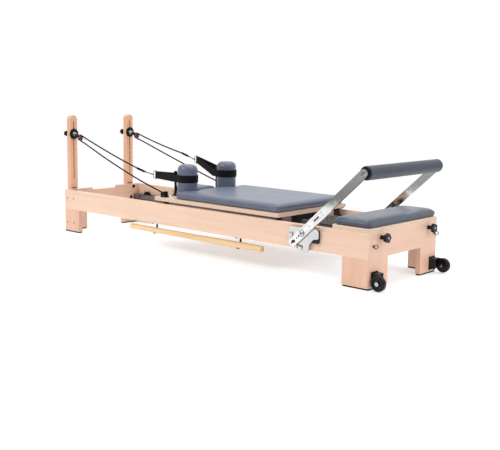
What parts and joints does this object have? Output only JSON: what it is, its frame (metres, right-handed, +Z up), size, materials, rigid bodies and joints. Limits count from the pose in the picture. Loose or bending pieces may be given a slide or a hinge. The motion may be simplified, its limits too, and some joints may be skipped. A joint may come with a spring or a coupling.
{
  "type": "pilates reformer",
  "caption": "Wooden pilates reformer: sprung sliding carriage with shoulder rests, hand straps on cords over post pulleys, a tilting padded footbar and a removable foot platform.",
  "frame": {"origin": "on the floor, under the middle of the overall length and width", "axes": "+X towards the foot end (footbar and transport wheels), -Y the near side with the wooden pole, +Z up"},
  "size_m": [2.68, 0.752, 0.7909],
  "materials": {
    "maple": "clear satin lacquer over pale maple",
    "pole_wood": "clear satin lacquer over yellowish ash",
    "black_rubber": "matt",
    "brown_steel": "satin brown",
    "black_steel": "satin black",
    "polished_steel": "polished",
    "track_metal": "brown-grey anodised, fine drawn lines",
    "spring_steel": "plain drawn wire",
    "upholstery": "blue-grey synthetic leather, soft sheen",
    "black_plastic": "fine grained black",
    "webbing": "tight black webbing",
    "sheave_plastic": "dark maroon",
    "cord": "black braided cord",
    "foam": "blue-grey closed-cell foam",
    "tyre": "matt black"
  },
  "bodies": {
    "frame": {"side_rails": "maple", "head_panel": "maple", "foot_panel": "maple", "legs": "maple", "rubber_feet": "black_rubber", "corner_blocks": "maple", "frame_bolts": "brown_steel", "riser_posts": "maple", "black_fasteners": "black_steel", "tracks": "track_metal", "track_stops": "black_rubber", "spring_bar": "black_steel", "springs": "spring_steel", "footbar_plates": "polished_steel", "plate_spacers": "black_plastic", "footbar_pivots": "polished_steel", "wheel_brackets": "black_steel", "eye_bolts": "polished_steel", "pole_hooks": "black_steel", "rope_near": "cord", "rope_far": "cord"},
    "carriage": {"carriage_board": "maple", "carriage_pad": "upholstery", "wheel_hangers": "black_steel", "spring_anchor": "black_steel", "rope_pegs": "black_plastic", "rope_cleats": "black_plastic", "hand_straps": "webbing", "rope_hooks": "polished_steel", "ferrules": "black_rubber", "headrest_hinge": "black_steel"},
    "wheel_head_near": {"carriage_wheel_head_near": "black_plastic"},
    "wheel_head_far": {"carriage_wheel_head_far": "black_plastic"},
    "wheel_foot_near": {"carriage_wheel_foot_near": "black_plastic"},
    "wheel_foot_far": {"carriage_wheel_foot_far": "black_plastic"},
    "headrest": {"headrest_board": "maple", "headrest_pad": "upholstery"},
    "shoulder_rest_near": {"shoulder_pad_near": "upholstery", "shoulder_base_near": "black_plastic"},
    "shoulder_rest_far": {"shoulder_pad_far": "upholstery", "shoulder_base_far": "black_plastic"},
    "pulley_near": {"pulley_carrier_near": "black_steel"},
    "pulley_far": {"pulley_carrier_far": "black_steel"},
    "pulley_wheel_near": {"sheave_near": "sheave_plastic"},
    "pulley_wheel_far": {"sheave_far": "sheave_plastic"},
    "clamp_knob_near": {"post_knob_near": "black_plastic"},
    "clamp_knob_far": {"post_knob_far": "black_plastic"},
    "platform": {"platform_board": "maple", "platform_pad": "upholstery", "platform_cleats": "black_plastic"},
    "foot_knob_near": {"foot_knob_near": "black_plastic"},
    "foot_knob_far": {"foot_knob_far": "black_plastic"},
    "footbar": {"footbar_arms": "polished_steel", "footbar_tube": "polished_steel", "footbar_foam": "foam", "footbar_caps": "black_plastic"},
    "locks": {"lock_pins": "black_steel"},
    "transport_wheel_near": {"transport_wheel_near": "tyre"},
    "transport_wheel_far": {"transport_wheel_far": "tyre"},
    "pole": {"pole": "pole_wood"}
  },
  "joints": [
    {"name": "carriage_slide", "type": "slide", "parent": "frame", "child": "carriage", "axis": [1, 0, 0], "range_m": [-0.62, 0], "stiffness_N_per_m": 500, "springref_m": 0.08, "deforming": ["springs", "rope_near", "rope_far"]},
    {"name": "wheel_head_near_spin", "type": "hinge", "parent": "carriage", "child": "wheel_head_near", "pos_m": [-0.292, -0.286, 0.2321], "axis": [0, 1, 0], "range_deg": [-1380, 10]},
    {"name": "wheel_head_far_spin", "type": "hinge", "parent": "carriage", "child": "wheel_head_far", "pos_m": [-0.292, 0.286, 0.2321], "axis": [0, 1, 0], "range_deg": [-1380, 10]},
    {"name": "wheel_foot_near_spin", "type": "hinge", "parent": "carriage", "child": "wheel_foot_near", "pos_m": [0.61, -0.286, 0.2321], "axis": [0, 1, 0], "range_deg": [-1380, 10]},
    {"name": "wheel_foot_far_spin", "type": "hinge", "parent": "carriage", "child": "wheel_foot_far", "pos_m": [0.61, 0.286, 0.2321], "axis": [0, 1, 0], "range_deg": [-1380, 10]},
    {"name": "headrest_hinge", "type": "hinge", "parent": "carriage", "child": "headrest", "pos_m": [-0.21, 0, 0.331], "axis": [0, 1, 0], "range_deg": [0, 45]},
    {"name": "shoulder_rest_lift_near", "type": "slide", "parent": "carriage", "child": "shoulder_rest_near", "axis": [0, 0, 1], "range_m": [0, 0.12]},
    {"name": "shoulder_rest_lift_far", "type": "slide", "parent": "carriage", "child": "shoulder_rest_far", "axis": [0, 0, 1], "range_m": [0, 0.12]},
    {"name": "pulley_height_near", "type": "slide", "parent": "frame", "child": "pulley_near", "axis": [0, 0, 1], "range_m": [-0.3, 0.08], "deforming": ["rope_near"]},
    {"name": "pulley_spin_near", "type": "hinge", "parent": "pulley_near", "child": "pulley_wheel_near", "pos_m": [-1.178, -0.252, 0.642], "axis": [0, 1, 0], "continuous": true},
    {"name": "clamp_knob_spin_near", "type": "hinge", "parent": "pulley_near", "child": "clamp_knob_near", "pos_m": [-1.298, -0.25, 0.664], "axis": [1, 0, 0], "continuous": true},
    {"name": "pulley_height_far", "type": "slide", "parent": "frame", "child": "pulley_far", "axis": [0, 0, 1], "range_m": [-0.3, 0.08], "deforming": ["rope_far"]},
    {"name": "pulley_spin_far", "type": "hinge", "parent": "pulley_far", "child": "pulley_wheel_far", "pos_m": [-1.178, 0.252, 0.642], "axis": [0, 1, 0], "continuous": true},
    {"name": "clamp_knob_spin_far", "type": "hinge", "parent": "pulley_far", "child": "clamp_knob_far", "pos_m": [-1.298, 0.25, 0.664], "axis": [1, 0, 0], "continuous": true},
    {"name": "platform_lift", "type": "slide", "parent": "frame", "child": "platform", "axis": [0, 0, 1], "range_m": [0, 0.12]},
    {"name": "foot_knob_spin_near", "type": "hinge", "parent": "frame", "child": "foot_knob_near", "pos_m": [1.248, -0.232, 0.259], "axis": [1, 0, 0], "continuous": true},
    {"name": "foot_knob_spin_far", "type": "hinge", "parent": "frame", "child": "foot_knob_far", "pos_m": [1.248, 0.232, 0.259], "axis": [1, 0, 0], "continuous": true},
    {"name": "footbar_tilt", "type": "hinge", "parent": "frame", "child": "footbar", "pos_m": [0.848, 0, 0.245], "axis": [0, 1, 0], "range_deg": [-43.56, 37.44]},
    {"name": "lock_pin_slide", "type": "slide", "parent": "footbar", "child": "locks", "axis": [-0.738, 0, -0.6748], "range_m": [0, 0.016]},
    {"name": "transport_wheel_spin_near", "type": "hinge", "parent": "frame", "child": "transport_wheel_near", "pos_m": [1.3, -0.323, 0.043], "axis": [0, 1, 0], "continuous": true},
    {"name": "transport_wheel_spin_far", "type": "hinge", "parent": "frame", "child": "transport_wheel_far", "pos_m": [1.3, 0.323, 0.043], "axis": [0, 1, 0], "continuous": true},
    {"name": "pole_lift", "type": "slide", "parent": "frame", "child": "pole", "axis": [0, -0.9397, 0.342], "range_m": [0, 0.12]}
  ],
  "couplings": [
    {"joint": "wheel_head_near_spin", "follows": "carriage_slide", "rad_per_m": 38.462},
    {"joint": "wheel_head_far_spin", "follows": "carriage_slide", "rad_per_m": 38.462},
    {"joint": "wheel_foot_near_spin", "follows": "carriage_slide", "rad_per_m": 38.462},
    {"joint": "wheel_foot_far_spin", "follows": "carriage_slide", "rad_per_m": 38.462}
  ]
}
